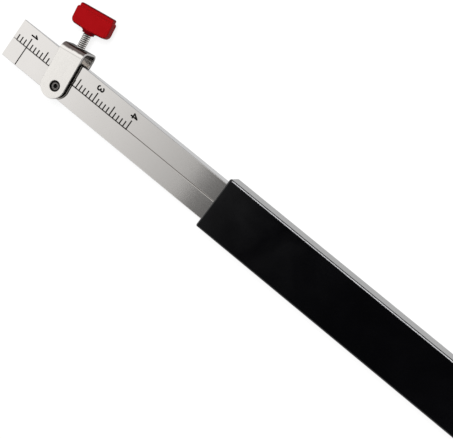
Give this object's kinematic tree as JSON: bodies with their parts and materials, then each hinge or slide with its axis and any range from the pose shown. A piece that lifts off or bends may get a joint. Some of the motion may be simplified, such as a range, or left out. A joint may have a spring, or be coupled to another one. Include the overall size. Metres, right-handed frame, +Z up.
{
  "type": "weld gauge",
  "caption": "Pocket weld gauge: wedge-ground steel blades with a root-gap scale, a pinned yoke with a red wing screw, and a black sleeve over the hooked ends.",
  "frame": {"origin": "middle of the sleeve's back face, on which the gauge lies", "axes": "+X from the wedge tip towards the sleeve's closed end, +Y towards the thumb screw, +Z up, out of the marked face"},
  "size_m": [0.159, 0.0234, 0.0065],
  "materials": {
    "blade_steel": "fine brushed stainless, satin",
    "yoke_steel": "tumbled bright sheet",
    "pin_steel": "dark spring steel",
    "screw_steel": "rolled thread, bright crests",
    "wing_red": "moulded red, semi-gloss",
    "sheath_black": "moulded black, glossy"
  },
  "bodies": {
    "index_body": {"index_blade": "blade_steel", "pivot_pin": "pin_steel"},
    "scale_body": {"scale_blade": "blade_steel"},
    "yoke_body": {"yoke": "yoke_steel"},
    "screw_body": {"screw_shank": "screw_steel"},
    "wing_body": {"wing_head": "wing_red"},
    "sheath_body": {"sheath": "sheath_black"}
  },
  "joints": [
    {"name": "blade_slide", "type": "slide", "parent": "index_body", "child": "scale_body", "axis": [1, 0, 0], "range_m": [-0.006, 0.006]},
    {"name": "yoke_swing", "type": "hinge", "parent": "index_body", "child": "yoke_body", "pos_m": [-0.0937, -0.00239, 0.00325], "axis": [0, 0, 1], "range_deg": [-23.4, 6.6]},
    {"name": "screw_lift", "type": "slide", "parent": "yoke_body", "child": "screw_body", "axis": [-0.1461, 0.9893, 0], "range_m": [-0.00045, 0.0009]},
    {"name": "wing_turn", "type": "hinge", "parent": "screw_body", "child": "wing_body", "pos_m": [-0.09592, 0.01264, 0.00325], "axis": [-0.1461, 0.9893, 0], "range_deg": [-360, 720]},
    {"name": "sleeve_slide", "type": "slide", "parent": "index_body", "child": "sheath_body", "axis": [1, 0, 0], "range_m": [0, 0.085]}
  ],
  "couplings": [
    {"joint": "wing_turn", "follows": "screw_lift", "rad_per_m": 13963}
  ]
}
